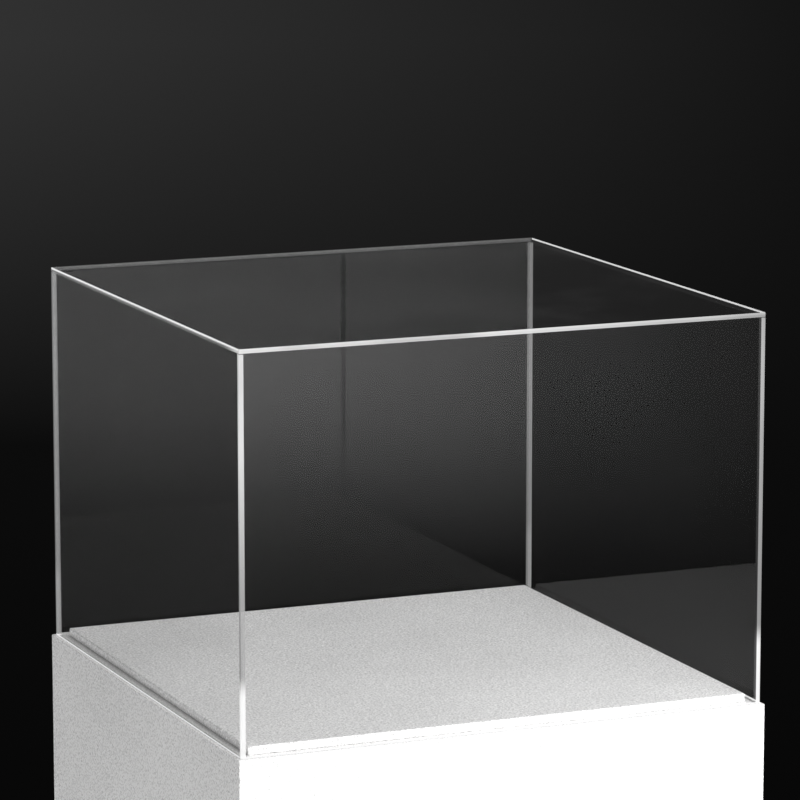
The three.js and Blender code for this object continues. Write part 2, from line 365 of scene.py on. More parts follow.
def make_painted_edge_glow():
    """Painted glow in the acrylic, set by position: it stands for light from the white deck and from a
    window.
    """
    tree, given, out = new_group(
        "painted_glow_group", {"Position": "vector", "Foot": plinth_top, "Reach": DECK_BAND},
        ["Glow", "Window", "Crest", "Border"])
    parts = add(tree, "ShaderNodeSeparateXYZ", {0: given["Position"]})
    across, deep, height = (parts.outputs[axis] for axis in "XYZ")
    above = maths(tree, "SUBTRACT", height, given["Foot"])
    front = ranged(tree, deep, cover_low.y + FRONT_BAND, cover_low.y, 0.12, 1.0)
    foot = ranged(tree, above, FOOT_PAINTED_GLOW, 0.7 * FOOT_PAINTED_GLOW)
    crest = painted_crest_highlight(tree, deep, height)
    glow = maths(tree, "MAXIMUM", painted_deck_glow(tree, above, given["Reach"], front, foot), crest)
    tree.links.new(glow, out["Glow"])
    tree.links.new(painted_window_glow(tree, given["Position"], across, above, front), out["Window"])
    tree.links.new(crest, out["Crest"])
    tree.links.new(painted_border_glow(tree, across, deep, height, foot), out["Border"])
    return tree


def make_wear():
    """Rubbed edges: the eased faces of a piece, broken up, and the scuffed band at its foot."""
    tree, given, out = new_group(
        "rubbed_edges", {"Position": "vector", "Breakup": 60.0, "Foot": 0.0, "Band": 0.06},
        ["Edges", "Scuffs"])
    eased = add(tree, "ShaderNodeAttribute", attribute_name="eased").outputs["Fac"]
    broken = ranged(tree, noise(tree, given["Position"], given["Breakup"], 4.0, 0.65), 0.50, 0.68)
    tree.links.new(maths(tree, "MULTIPLY", eased, broken), out["Edges"])
    parts = add(tree, "ShaderNodeSeparateXYZ", {0: given["Position"]})
    above = maths(tree, "SUBTRACT", parts.outputs["Z"], given["Foot"])
    low = maths(tree, "SUBTRACT", 1.0, maths(tree, "DIVIDE", above, given["Band"]), clamp=True)
    stretched = mapped(tree, given["Position"], scale=(14, 14, 90))
    marks = ranged(tree, noise(tree, stretched, 1.0, 3.0, 0.6), 0.52, 0.75)
    tree.links.new(maths(tree, "MULTIPLY", low, marks), out["Scuffs"])
    return tree


def make_grain():
    """Growth rings and fibres of softwood, whose grain runs along Z."""
    tree, given, out = new_group("pine_grain", {"Position": "vector", "Rings": 210.0}, ["Late", "Fibre"])
    swell = add(tree, "ShaderNodeTexNoise", {"Vector": given["Position"], "Scale": 3.0, "Detail": 1.0})
    sway = add(tree, "ShaderNodeVectorMath", {0: swell.outputs["Color"], "Scale": 0.03}, operation="SCALE")
    moved = add(tree, "ShaderNodeVectorMath", {0: given["Position"], 1: sway.outputs[0]}, operation="ADD")
    flat = mapped(tree, moved.outputs[0], scale=(1, 1, 0.035))
    rings = add(tree, "ShaderNodeTexWave", {
        "Vector": flat, "Scale": given["Rings"], "Distortion": 2.4, "Detail": 2.0, "Detail Scale": 0.6,
    }, wave_type="RINGS", rings_direction="SPHERICAL", wave_profile="SAW").outputs["Fac"]
    tree.links.new(rings, out["Late"])
    drawn = mapped(tree, given["Position"], scale=(1500, 1500, 26))
    tree.links.new(noise(tree, drawn, 1.0, 3.0, 0.6), out["Fibre"])
    return tree


speckle = make_speckle()
dust = make_dust()
scratches = make_scratches()
painted_edge_glow = make_painted_edge_glow()
wear = make_wear()
grain = make_grain()


# ---------------------------------------------------------------- finishes

SHEET_MIRROR = 0.5      # coated sheet, which mirrors half of what bare acrylic does
EDGE_PAINTED_GLOW = 0.8        # share of an edge's tone that is painted glow (emission), not light falling on it
ACRYLIC_IOR = 1.49


def milk_with_painted_glow(tree, milky, painted_glow, dull, bright, **surface):
    """Milky acrylic with a painted glow: emission painted from dull to bright, and to white, by position.
    """
    tone = mixed(tree, painted_glow["Window"], grey(dull), grey(bright))
    tone = mixed(tree, painted_glow["Glow"], tone, grey(1.0))
    base = mixed(tree, EDGE_PAINTED_GLOW, tone, grey(0.0))
    wire(tree, milky, Base_Color=base, IOR=ACRYLIC_IOR, Emission_Color=tone,
         Emission_Strength=EDGE_PAINTED_GLOW, **surface)


def clear_sheet():
    """The big faces of the acrylic: what lies behind, under a thin mirror and a little dust. The dust and a
    painted border take milky acrylic with its painted glow.
    """
    material, tree, milky, position = new_material("clear_acrylic_sheet")
    hairs = place(tree, scratches, Position=mapped(tree, position, scale=(30, 30, 3)), Scale=4.0)
    settled = place(tree, dust, Position=position, Amount=0.05)["Mask"]
    painted_glow = place(tree, painted_edge_glow, Position=position)
    polish = ranged(tree, hairs["Mask"], 0, 1, 0.02, 0.06)
    wave = bumped(tree, noise(tree, position, 3.2, 1.0), 0.5 * MM, 0.3)
    milk_with_painted_glow(tree, milky, painted_glow, 0.3, 0.85, Roughness=polish, Normal=wave)
    mirror = add(tree, "ShaderNodeBsdfGlossy", {"Color": grey(1.0), "Roughness": polish, "Normal": wave})
    clear = add(tree, "ShaderNodeBsdfTransparent", {"Color": grey(0.985)})
    fresnel = add(tree, "ShaderNodeFresnel", {"IOR": ACRYLIC_IOR}).outputs[0]
    inside = add(tree, "ShaderNodeNewGeometry").outputs["Backfacing"]
    outside = maths(tree, "SUBTRACT", 1.0, inside)
    amount = maths(tree, "MULTIPLY", maths(tree, "MULTIPLY", fresnel, SHEET_MIRROR), outside, clamp=True)
    seen = add(tree, "ShaderNodeMixShader", {0: amount, 1: clear.outputs[0], 2: mirror.outputs[0]})
    # Painted glow: the dust specks and the border take the milky shader, whose tone is painted emission.
    border = maths(tree, "MULTIPLY", painted_glow["Border"], mixed_value(tree, inside, 1.0, 0.55))
    veil = maths(tree, "ADD", maths(tree, "MULTIPLY", settled, outside), border, clamp=True)
    dusted = add(tree, "ShaderNodeMixShader", {0: veil, 1: seen.outputs[0], 2: milky.outputs[0]})
    tree.links.new(dusted.outputs[0], tree.nodes["Material Output"].inputs["Surface"])
    return material


def edge_finish(name, dull, bright, covers, bubbles=False):
    """An edge of the acrylic, whose tone is a painted glow. The covers are how much it hides from outside,
    from inside, and slantwise.
    """
    material, tree, milky, position = new_material(name)
    painted_glow = place(tree, painted_edge_glow, Position=position)
    streaks = place(tree, scratches, Position=mapped(tree, position, scale=(90, 90, 90)), Scale=5.0)
    milk_with_painted_glow(tree, milky, painted_glow, dull, bright,
               Roughness=ranged(tree, streaks["Mask"], 0, 1, 0.16, 0.34),
               Normal=bumped(tree, streaks["Height"], 0.02 * MM, 0.4))
    outside, inside, slantwise = covers
    slant = add(tree, "ShaderNodeLayerWeight", {"Blend": 0.5}).outputs["Facing"]
    leaning = ranged(tree, slant, 0.05, 0.6, inside, slantwise)
    # The painted crest highlight also makes the edge opaque from inside.
    from_inside = maths(tree, "MAXIMUM", leaning, painted_glow["Crest"])
    backfacing = add(tree, "ShaderNodeNewGeometry").outputs["Backfacing"]
    cover = mixed_value(tree, backfacing, outside, from_inside)
    if bubbles:
        cells = add(tree, "ShaderNodeTexVoronoi", {"Vector": position, "Scale": 420.0})
        full = ranged(tree, cells.outputs["Distance"], 0.1, 0.18, 0.6, 1.0)
        cover = maths(tree, "MULTIPLY", cover, full)
    clear = add(tree, "ShaderNodeBsdfTransparent", {"Color": grey(0.97)})
    seen = add(tree, "ShaderNodeMixShader", {0: cover, 1: clear.outputs[0], 2: milky.outputs[0]})
    tree.links.new(seen.outputs[0], tree.nodes["Material Output"].inputs["Surface"])
    return material


def white_lacquer(name, level, contrast, size, roughness):
    """Sprayed satin lacquer with a fine tooth, rubbed edges and a scuffed foot."""
    material, tree, shader, position = new_material(name)
    sprayed = place(tree, speckle, Position=position, Size=size, Contrast=contrast)
    rubbed = place(tree, wear, Position=position, Foot=plinth_foot)
    settled = place(tree, dust, Position=position, Amount=0.35)["Mask"]
    shade = add(tree, "ShaderNodeCombineColor",
                {0: sprayed["Shade"], 1: sprayed["Shade"], 2: sprayed["Shade"]}).outputs[0]
    paint = add(tree, "ShaderNodeMix", {0: 1.0, 6: grey(level, 0.003), 7: shade},
                data_type="RGBA", blend_type="MULTIPLY").outputs[2]
    worn = mixed(tree, maths(tree, "MULTIPLY", rubbed["Edges"], 0.12), paint, grey(0.62, 0.03))
    scuffed = mixed(tree, maths(tree, "MULTIPLY", rubbed["Scuffs"], 0.3), worn, grey(0.35, 0.02))
    coated = mixed(tree, maths(tree, "MULTIPLY", settled, 0.5), scuffed, grey(0.72, 0.01))
    drift = noise(tree, position, 11.0, 3.0)
    wire(tree, shader, Base_Color=coated, IOR=1.48,
         Roughness=ranged(tree, drift, 0.3, 0.7, roughness - 0.05, roughness + 0.06),
         Normal=bumped(tree, sprayed["Height"], 0.05 * MM, 0.35))
    return material


def fibre_board():
    """Raw medium-density board: felted brown fibres, darker and looser on its cut edges."""
    material, tree, shader, position = new_material("raw_fibre_board")
    sprayed = place(tree, speckle, Position=position, Size=1300.0, Contrast=0.5)
    clumps = noise(tree, position, 260.0, 4.0, 0.7)
    rubbed = place(tree, wear, Position=position)
    settled = place(tree, dust, Position=position, Amount=0.6)["Mask"]
    pale = (0.42, 0.285, 0.165, 1)
    dark = (0.235, 0.15, 0.08, 1)
    felt = mixed(tree, ranged(tree, clumps, 0.3, 0.7), dark, pale)
    flecked = mixed(tree, ranged(tree, sprayed["Height"], 0.55, 0.75, 0, 0.55), felt, dark)
    edged = mixed(tree, maths(tree, "MULTIPLY", rubbed["Edges"], 0.6), flecked, dark)
    wire(tree, shader, Base_Color=mixed(tree, settled, edged, grey(0.5, 0.04)),
         Roughness=ranged(tree, clumps, 0.2, 0.8, 0.74, 0.95),
         Normal=bumped(tree, clumps, 0.12 * MM, 0.5))
    return material


def softwood(name, turn):
    """Planed pine whose grain is turned from Z to run along the piece."""
    material, tree, shader, position = new_material(name)
    along = mapped(tree, position, turn=turn, shift=(0.013, 0.021, 0.007))
    rings = place(tree, grain, Position=along)
    rubbed = place(tree, wear, Position=position, Breakup=90.0)
    settled = place(tree, dust, Position=position, Amount=0.35)["Mask"]
    early = (0.66, 0.45, 0.235, 1)
    late = (0.40, 0.205, 0.08, 1)
    ringed = mixed(tree, ranged(tree, rings["Late"], 0.45, 0.98), early, late)
    fibred = mixed(tree, ranged(tree, rings["Fibre"], 0.5, 0.75, 0, 0.3), ringed, late)
    knots = add(tree, "ShaderNodeTexVoronoi", {
        "Vector": mapped(tree, along, scale=(9, 9, 3.3)), "Scale": 1.0}).outputs["Distance"]
    knotted = mixed(tree, ranged(tree, knots, 0.085, 0.05), fibred, (0.16, 0.075, 0.03, 1))
    worn = mixed(tree, maths(tree, "MULTIPLY", rubbed["Edges"], 0.4), knotted, late)
    wire(tree, shader, Base_Color=mixed(tree, settled, worn, grey(0.5, 0.04)),
         Roughness=ranged(tree, rings["Fibre"], 0.3, 0.7, 0.58, 0.8),
         Normal=bumped(tree, rings["Fibre"], 0.06 * MM, 0.5))
    return material


def zinc_steel():
    """Bright zinc plate, clouded by its passivation and rubbed along the threads."""
    material, tree, shader, position = new_material("bright_zinc_steel")
    hairs = place(tree, scratches, Position=mapped(tree, position, scale=(60, 60, 400)), Scale=6.0)
    clouds = noise(tree, position, 130.0, 3.0, 0.6)
    settled = place(tree, dust, Position=position, Amount=0.25)["Mask"]
    plate = mixed(tree, ranged(tree, clouds, 0.35, 0.7), (0.58, 0.60, 0.63, 1), (0.74, 0.73, 0.69, 1))
    dulled = mixed(tree, maths(tree, "MULTIPLY", hairs["Mask"], 0.35), plate, (0.40, 0.41, 0.43, 1))
    wire(tree, shader, Base_Color=dulled,
         Metallic=ranged(tree, settled, 0, 1, 0.97, 0.3),
         Roughness=ranged(tree, clouds, 0.3, 0.75, 0.26, 0.44),
         Normal=bumped(tree, hairs["Height"], 0.02 * MM, 0.5))
    return material


def black_nylon():
    """Moulded black nylon with an eroded matt skin and a dusty, scuffed rim."""
    material, tree, shader, position = new_material("moulded_black_nylon")
    skin = noise(tree, position, 1900.0, 3.0, 0.6)
    rubbed = place(tree, wear, Position=position, Breakup=180.0, Band=0.004)
    settled = place(tree, dust, Position=position, Amount=0.8)["Mask"]
    clean = mixed(tree, ranged(tree, skin, 0.35, 0.7), grey(0.016), grey(0.034))
    scuffed = mixed(tree, maths(tree, "MULTIPLY", rubbed["Scuffs"], 0.7), clean, grey(0.16, 0.02))
    wire(tree, shader, Base_Color=mixed(tree, settled, scuffed, grey(0.34, 0.03)),
         Roughness=ranged(tree, skin, 0.3, 0.7, 0.46, 0.62),
         Normal=bumped(tree, skin, 0.04 * MM, 0.4))
    return material


def floor_tone():
    """Pale studio floor, painted darker towards its rim as painted shade, and seen only from above."""
    material, tree, shader, position = new_material("studio_floor")
    reach = add(tree, "ShaderNodeVectorMath", {0: position}, operation="LENGTH").outputs["Value"]
    # Painted shade: the floor's colour darkens towards its rim as if the light fell off.
    painted_rim_shade = ranged(tree, reach, FLOOR_RADIUS * FLOOR_FADE, FLOOR_RADIUS)
    cloud = noise(tree, position, 4.0, 3.0)
    pale = mixed(tree, ranged(tree, cloud, 0.3, 0.7), grey(0.52), grey(0.56))
    wire(tree, shader, Base_Color=mixed(tree, painted_rim_shade, pale, grey(0.01)), Roughness=0.6,
         Specular_IOR_Level=0.1)
    clear = add(tree, "ShaderNodeBsdfTransparent")
    under = add(tree, "ShaderNodeNewGeometry").outputs["Backfacing"]
    seen = add(tree, "ShaderNodeMixShader", {0: under, 1: shader.outputs[0], 2: clear.outputs[0]})
    tree.links.new(seen.outputs[0], tree.nodes["Material Output"].inputs["Surface"])
    return material


WINDOW_LIGHT = 2.4      # a broad soft light in front, which the sheets mirror as a faint veil
CEILING_LIGHT = 0.22


def backdrop_tone(tree, sideways, height):
    """What the camera sees: near black, a little paler above the object and at the left."""
    night = ranged(tree, height, -0.26, -0.19, 0.0024, 0.0036, smooth=False)
    sky = ranged(tree, height, -0.19, -0.10, 0.0, 1.0, smooth=False)
    lean = ranged(tree, sideways, 0.47, 0.30, 0.0035, 0.027, smooth=False)
    aside = maths(tree, "MULTIPLY", lean, ranged(tree, sideways, 0.0, 0.29, 0.3, 1.0))
    return maths(tree, "ADD", night, maths(tree, "MULTIPLY", sky, aside))


def window_tone(tree, sideways, deep, height):
    """The window, a soft-edged patch in front of the object."""
    front = ranged(tree, deep, -0.3, -0.6)
    across = maths(tree, "MULTIPLY", ranged(tree, sideways, 0.51, 0.33), ranged(tree, sideways, -0.5, -0.2))
    tall = maths(tree, "MULTIPLY", ranged(tree, height, -0.225, -0.17), ranged(tree, height, 0.5, 0.2))
    return maths(tree, "MULTIPLY", maths(tree, "MULTIPLY", across, tall), front)


def light_the_room():
    """A dark backdrop for the camera, and a soft grey room for light and reflections."""
    world = bpy.data.worlds.new("studio")
    world.use_nodes = True
    bpy.context.scene.world = world
    tree = world.node_tree
    heading = add(tree, "ShaderNodeTexCoord").outputs["Generated"]
    parts = add(tree, "ShaderNodeSeparateXYZ", {0: heading})
    sideways, deep, height = (parts.outputs[axis] for axis in "XYZ")
    ceiling = ranged(tree, height, 0.22, 0.6, 0.0, CEILING_LIGHT)
    walls = maths(tree, "MULTIPLY", ranged(tree, height, -0.3, 0.1, 0.02, 0.042),
                  ranged(tree, sideways, 0.47, 0.30, 0.75, 1.35, smooth=False))
    window = maths(tree, "MULTIPLY", window_tone(tree, sideways, deep, height), WINDOW_LIGHT)
    room = maths(tree, "ADD", window, maths(tree, "ADD", ceiling, walls))
    seen = add(tree, "ShaderNodeLightPath").outputs["Is Camera Ray"]
    strength = mixed_value(tree, seen, room, backdrop_tone(tree, sideways, height))
    wire(tree, tree.nodes["Background"], Color=grey(1.0), Strength=strength)


# ---------------------------------------------------------------- shaping helpers

def block(low, high):
    """A plain block between two corners, ready to be shaped."""
    shape = bmesh.new()
    shape.faces.layers.float.new("eased")
    bmesh.ops.create_cube(shape, size=1)
    bmesh.ops.scale(shape, vec=high - low, verts=shape.verts)
    bmesh.ops.translate(shape, vec=(low + high) / 2, verts=shape.verts)
    return shape


def ease(shape, edges, radius, segments=3):
    """Rounds edges and marks the new faces as eased."""
    made = bmesh.ops.bevel(shape, geom=edges, offset=radius, offset_type="OFFSET", affect="EDGES",
                           segments=segments, profile=0.5, material=-1)
    mark = shape.faces.layers.float["eased"]
    for face in made["faces"]:
        face[mark] = 1.0
        face.smooth = True


def outer_edges(shape, low, high):
    """The edges that lie on two sides of the box between two corners."""
    def sides(point):
        found = set()
        for axis in range(3):
            for name, limit in (("low", low), ("high", high)):
                if abs(point[axis] - limit[axis]) < SAME_LEVEL:
                    found.add((axis, name))
        return found
    return [edge for edge in shape.edges
            if len(sides(edge.verts[0].co) & sides(edge.verts[1].co)) >= 2]


def rise_of(edge):
    """How much higher one end of an edge is than the other."""
    return abs(edge.verts[0].co.z - edge.verts[1].co.z)


def copy_of(node):
    """A CAD node's solid, merged and with its flat faces whole again."""
    shape = bmesh.new()
    shape.from_mesh(frame["nodes"][node].data)
    shape.faces.layers.float.new("eased")
    bmesh.ops.remove_doubles(shape, verts=shape.verts, dist=MERGE)
    bmesh.ops.dissolve_limit(shape, angle_limit=math.radians(1), verts=shape.verts, edges=shape.edges)
    for face in shape.faces:
        face.smooth = False
    return shape


def turned(profile, sides=TURNED_SIDES, closed=False):
    """A shape spun about Z from (radius, height) points."""
    shape = bmesh.new()
    shape.faces.layers.float.new("eased")
    points = [shape.verts.new((radius, 0, height)) for radius, height in profile]
    following = points[1:] + points[:1] if closed else points[1:]
    edges = [shape.edges.new(pair) for pair in zip(points, following)]
    bmesh.ops.spin(shape, geom=points + edges, cent=(0, 0, 0), axis=(0, 0, 1), angle=math.tau,
                   steps=sides, use_merge=True, use_duplicate=False)
    bmesh.ops.remove_doubles(shape, verts=shape.verts, dist=MERGE)
    bmesh.ops.recalc_face_normals(shape, faces=shape.faces)
    soften(shape, 35)
    return shape


def soften(shape, degrees):
    """Smooth shading that keeps every edge sharper than an angle."""
    limit = math.radians(degrees)
    for face in shape.faces:
        face.smooth = True
    for edge in shape.edges:
        edge.smooth = edge.calc_face_angle(0) < limit


def thread(core, depth, pitch, foot, top, steps=24):
    """The ridge of a screw thread, wound from a small closed section let into the core.

    The section's heights are shares of the pitch.
    """
    turns = (top - foot - pitch) / pitch
    root = core - 0.05 * MM
    crest = core + depth
    section = [(root, 0.02), (root, 0.92), (crest, 0.53), (crest, 0.41)]
    ridge = bmesh.new()
    ridge.faces.layers.float.new("eased")
    points = [ridge.verts.new((radius, 0, foot + share * pitch)) for radius, share in section]
    face = ridge.faces.new(points)
    count = round(turns * steps)
    bmesh.ops.spin(ridge, geom=[face, *face.edges, *points], cent=(0, 0, 0), axis=(0, 0, 1),
                   dvec=(0, 0, pitch / steps), angle=turns * math.tau, steps=count,
                   use_merge=False, use_duplicate=False)
    bmesh.ops.recalc_face_normals(ridge, faces=ridge.faces)
    soften(ridge, 40)
    return ridge


def join(shapes):
    """Several shapes as one piece."""
    whole = shapes[0]
    for other in shapes[1:]:
        spare = bpy.data.meshes.new("spare")
        other.to_mesh(spare)
        whole.from_mesh(spare)
        bpy.data.meshes.remove(spare)
        other.free()
    return whole


def mesh_of(name, shape):
    """A finished shape as a mesh."""
    mesh = bpy.data.meshes.new(name)
    shape.to_mesh(mesh)
    shape.free()
    return mesh


def finish_piece(name, shape, node, finishes):
    """Makes a shape into a piece that stands for a CAD node and rides on the same body."""
    place_piece(name, mesh_of(name, shape), node, finishes)


def place_piece(name, mesh, node, finishes):
    """Puts a mesh in the scene as a piece that stands for a CAD node and rides on the same body."""
    mesh.name = name
    for finish in finishes:
        mesh.materials.append(finish)
    piece = bpy.data.objects.new(name, mesh)
    bpy.context.scene.collection.objects.link(piece)
    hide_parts(node)
    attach(piece, frame["nodes"][node]["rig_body"])


# ---------------------------------------------------------------- the cover

CLEAR, POLISHED, SCRAPED, UPRIGHT_JOINT, TOP_JOINT = range(5)    # order of the cover's finishes


def cover_panel(node, thin_axis, finishes):
    """A sheet with scraped, polished edges. Its joints with the other sheets are cemented."""
    low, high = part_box(node)
    shape = block(low, high)
    ease(shape, shape.edges[:], SHEET_EASE, 2)
    for face in shape.faces:
        face.material_index = sheet_finish(face, node, thin_axis)
    finish_piece(f"{node}_sheet", shape, node, finishes)


def sheet_finish(face, node, thin_axis):
    """Which finish a face has: clear, polished, scraped, cemented upright or cemented under the top."""
    along = [abs(part) for part in face.normal]
    square = max(along) > SQUARE
    if along[thin_axis] > SQUARE:
        return CLEAR
    if node != "cover_top_panel" and face.calc_center_median().z > cover_high.z - TOP_BAND:
        if square or along[2] > 0.1:
            return TOP_JOINT
    if node in ("cover_left_panel", "cover_right_panel") and along[1] > 0.1:
        return UPRIGHT_JOINT
    return POLISHED if square else SCRAPED


def make_cover():
    """The five sheets. Their finishes are in the order that sheet_finish counts them."""
    finishes = [
        clear_sheet(),
        # dull and bright are the ends of each edge's painted glow
        edge_finish("polished_acrylic_edge", 0.17, 0.85, (0.9, 0.5, 0.04)),
        edge_finish("scraped_acrylic_arris", 0.25, 0.95, (0.9, 0.25, 0.03)),
        edge_finish("cemented_acrylic_joint", 0.3, 0.6, (0.1, 0.65, 0.05), bubbles=True),
        edge_finish("cemented_top_joint", 0.12, 0.3, (0.1, 0.1, 0.05), bubbles=True),
    ]
    for side, thin_axis in (("front", 1), ("back", 1), ("left", 0), ("right", 0), ("top", 2)):
        cover_panel(f"cover_{side}_panel", thin_axis, finishes)


# ---------------------------------------------------------------- the deck and plinth

def make_deck():
    """The raised deck, with the screw holes that it has in the CAD."""
    node = "display_deck"
    low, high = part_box(node)
    shape = copy_of(node)
    ease(shape, outer_edges(shape, low, high), DECK_EASE)
    finish = white_lacquer("deck_satin_lacquer", 0.84, 2.0, 520.0, 0.42)
    finish_piece("display_deck_board", shape, node, [finish])


def plinth_block():
    """The whole lacquered box of the plinth, before its four boards are parted."""
    low = Vector((-plinth_half, -plinth_half, plinth_foot))
    high = Vector((plinth_half, plinth_half, plinth_top))
    shape = block(low, high)
    upright = [edge for edge in shape.edges if rise_of(edge) > MM]
    ease(shape, upright, CORNER_EASE, 4)
    rims = [edge for edge in shape.edges
            if rise_of(edge) < SAME_LEVEL and edge.calc_face_angle(0) > math.radians(60)]
    ease(shape, rims, RIM_EASE, 3)
    return shape


def trim(shape, point, direction):
    """Cuts away what lies beyond a plane and closes the cut."""
    everything = [*shape.verts, *shape.edges, *shape.faces]
    made = bmesh.ops.bisect_plane(shape, geom=everything, plane_co=point, plane_no=direction,
                                  clear_outer=True, dist=MERGE)
    rim = [part for part in made["geom_cut"] if isinstance(part, bmesh.types.BMEdge)]
    bmesh.ops.edgenet_fill(shape, edges=rim)


def plinth_board(side, quarter, finish):
    """One mitred board of the plinth, cut from the front of the block and turned into place."""
    node = f"plinth_{side}_panel"
    inner_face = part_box("plinth_front_panel")[1].y
    shape = plinth_block()
    trim(shape, Vector((0, inner_face, 0)), Vector((0, 1, 0)))
    for sign in (-1, 1):
        across = Vector((sign, 1, 0)).normalized()
        corner = Vector((sign * plinth_half, -plinth_half, 0)) - across * MITRE_GAP
        trim(shape, corner, across)
    turn = Matrix.Rotation(quarter * math.pi / 2, 3, "Z")
    bmesh.ops.rotate(shape, cent=(0, 0, 0), matrix=turn, verts=shape.verts)
    bmesh.ops.recalc_face_normals(shape, faces=shape.faces)
    finish_piece(f"{node}_board", shape, node, [finish])


def make_plinth():
    """The four mitred sides."""
    finish = white_lacquer("plinth_white_lacquer", 0.93, 1.9, 520.0, 0.36)
    for quarter, side in enumerate(SIDES):
        plinth_board(side, quarter, finish)


def eased_timber(node, radius, finish):
    """A board, batten or cleat with its long edges eased."""
    low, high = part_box(node)
    shape = copy_of(node)
    ease(shape, outer_edges(shape, low, high), radius)
    finish_piece(f"{node}_timber", shape, node, [finish])


def make_timber():
    """The boards, battens and cleats inside; the battens and cleats each with its grain along its length.
    """
    raw = fibre_board()
    for node in ("plinth_top_board", "plinth_bottom_board"):
        eased_timber(node, BOARD_EASE, raw)
    upright = softwood("softwood_upright", (0, 0, 0))
    across = softwood("softwood_left_to_right", (0, math.radians(90), 0))
    deep = softwood("softwood_front_to_back", (math.radians(90), 0, 0))
    for corner in CORNERS:
        eased_timber(f"corner_batten_{corner}", BATTEN_EASE, upright)
    for side in SIDES:
        finish = across if side in ("front", "back") else deep
        eased_timber(f"top_cleat_{side}", BATTEN_EASE, finish)


# ---------------------------------------------------------------- screws

def cast(pattern, suffix, node, finish):
    """A copy of a pattern, which stands on the origin, set down in a CAD node's place."""
    low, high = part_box(node)
    mesh = pattern.copy()
    mesh.transform(Matrix.Translation(((low.x + high.x) / 2, (low.y + high.y) / 2, low.z)))
    place_piece(f"{node}_{suffix}", mesh, node, [finish])


def pattern_mesh(shapes):
    """Several shapes as one mesh, to be copied."""
    return mesh_of("pattern", join(shapes))


def with_recess(shape):
    """Sinks a tapered cross into the face that a screw's head shows at the origin."""
    cutter = bmesh.new()
    for reach, wing in ((RECESS_REACH, RECESS_WING / 2), (RECESS_WING / 2, RECESS_REACH)):
        made = bmesh.ops.create_cube(cutter, size=1)["verts"]
        bmesh.ops.scale(cutter, vec=(2 * reach, 2 * wing, 2 * RECESS_DEPTH), verts=made)
        deep = [vert for vert in made if vert.co.z > 0]
        bmesh.ops.scale(cutter, vec=(RECESS_TAPER, RECESS_TAPER, 1), verts=deep)
    tool = loose_object("recess_cutter", pattern_mesh([cutter]))
    blank = loose_object("screw_blank", pattern_mesh([shape]))
    sink = blank.modifiers.new("cross recess", "BOOLEAN")
    sink.operation = "DIFFERENCE"
    sink.solver = "EXACT"
    sink.use_self = True
    sink.object = tool
    bpy.context.view_layer.update()
    cut = bmesh.new()
    cut.from_object(blank, bpy.context.evaluated_depsgraph_get())
    bmesh.ops.dissolve_degenerate(cut, dist=MERGE, edges=cut.edges[:])
    bpy.data.objects.remove(tool)
    bpy.data.objects.remove(blank)
    return cut


def loose_object(name, mesh):
    """A mesh in the scene for the length of one cut."""
    made = bpy.data.objects.new(name, mesh)
    bpy.context.scene.collection.objects.link(made)
    return made


def wood_screw(node):
    """The pattern of a countersunk screw, head down: recess, neck, thread and point."""
    low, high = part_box(node)
    head = (high.x - low.x) / 2
    shank = head / 2
    core = shank * SCREW_ROOT
    length = high.z - low.z
    head_height = 2.2 * MM
    plain_end = 5.2 * MM
    cone = length - SCREW_POINT
    body = turned([
        (0, 0), (head - 0.25 * MM, 0), (head, 0.12 * MM), (head, 0.3 * MM), (shank, head_height),
        (shank, plain_end), (core, plain_end + 0.6 * MM), (core, cone),
        (core * 0.55, length - 1.2 * MM), (0, length),
    ], SCREW_SIDES)
    ridge = thread(core, shank - core, SCREW_PITCH, plain_end + 0.4 * MM, cone + 0.8 * MM)
    return pattern_mesh([with_recess(body), ridge])


def make_screws(finish):
    """All the wood screws; each kind is made once and copied."""
    kinds = {"deck_screw": CORNERS, "base_screw": CORNERS, "cleat_screw": CLEAT_SCREWS}
    for kind, places in kinds.items():
        pattern = wood_screw(f"{kind}_{places[0]}")
        for place_name in places:
            cast(pattern, "screw", f"{kind}_{place_name}", finish)


# ---------------------------------------------------------------- levelling feet

def foot_insert(node):
    """A threaded sleeve with a knurled barrel and a thin flange."""
    low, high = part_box(node)
    flange = (high.x - low.x) / 2
    height = high.z - low.z
    barrel = 6 * MM
    bore = 4.2 * MM
    lip = 1.5 * MM
    skin = barrel - 0.15 * MM
    neck = barrel - 0.5 * MM
    knurl_foot = lip + 1.4 * MM
    knurl_top = height - 1.2 * MM
    sleeve = turned([
        (bore + 0.3 * MM, 0), (flange - 0.4 * MM, 0), (flange, 0.4 * MM), (flange, lip - 0.2 * MM),
        (flange - 0.2 * MM, lip), (neck, lip), (neck, lip + 1.0 * MM), (skin, knurl_foot),
        (skin, knurl_top), (barrel - 0.9 * MM, height), (bore + 0.3 * MM, height),
        (bore, height - 0.4 * MM), (bore, 0.4 * MM),
    ], closed=True)
    ribs = [knurl(index * math.tau / KNURLS, barrel, knurl_foot, knurl_top) for index in range(KNURLS)]
    return pattern_mesh([sleeve, *ribs])


def knurl(angle, radius, foot, top):
    """One upright rib of a knurled barrel, as a thin wedge let into it."""
    rib = bmesh.new()
    rib.faces.layers.float.new("eased")
    root = radius - 0.35 * MM
    half = 0.3 * MM
    outline = [(root, -half, foot), (radius, 0, foot + half), (root, half, foot)]
    face = rib.faces.new([rib.verts.new(point) for point in outline])
    made = bmesh.ops.extrude_face_region(rib, geom=[face], use_keep_orig=True)["geom"]
    lifted = [part for part in made if isinstance(part, bmesh.types.BMVert)]
    bmesh.ops.translate(rib, vec=(0, 0, top - foot - half), verts=lifted)
    bmesh.ops.rotate(rib, cent=(0, 0, 0), matrix=Matrix.Rotation(angle, 3, "Z"), verts=rib.verts)
    bmesh.ops.recalc_face_normals(rib, faces=rib.faces)
    return rib


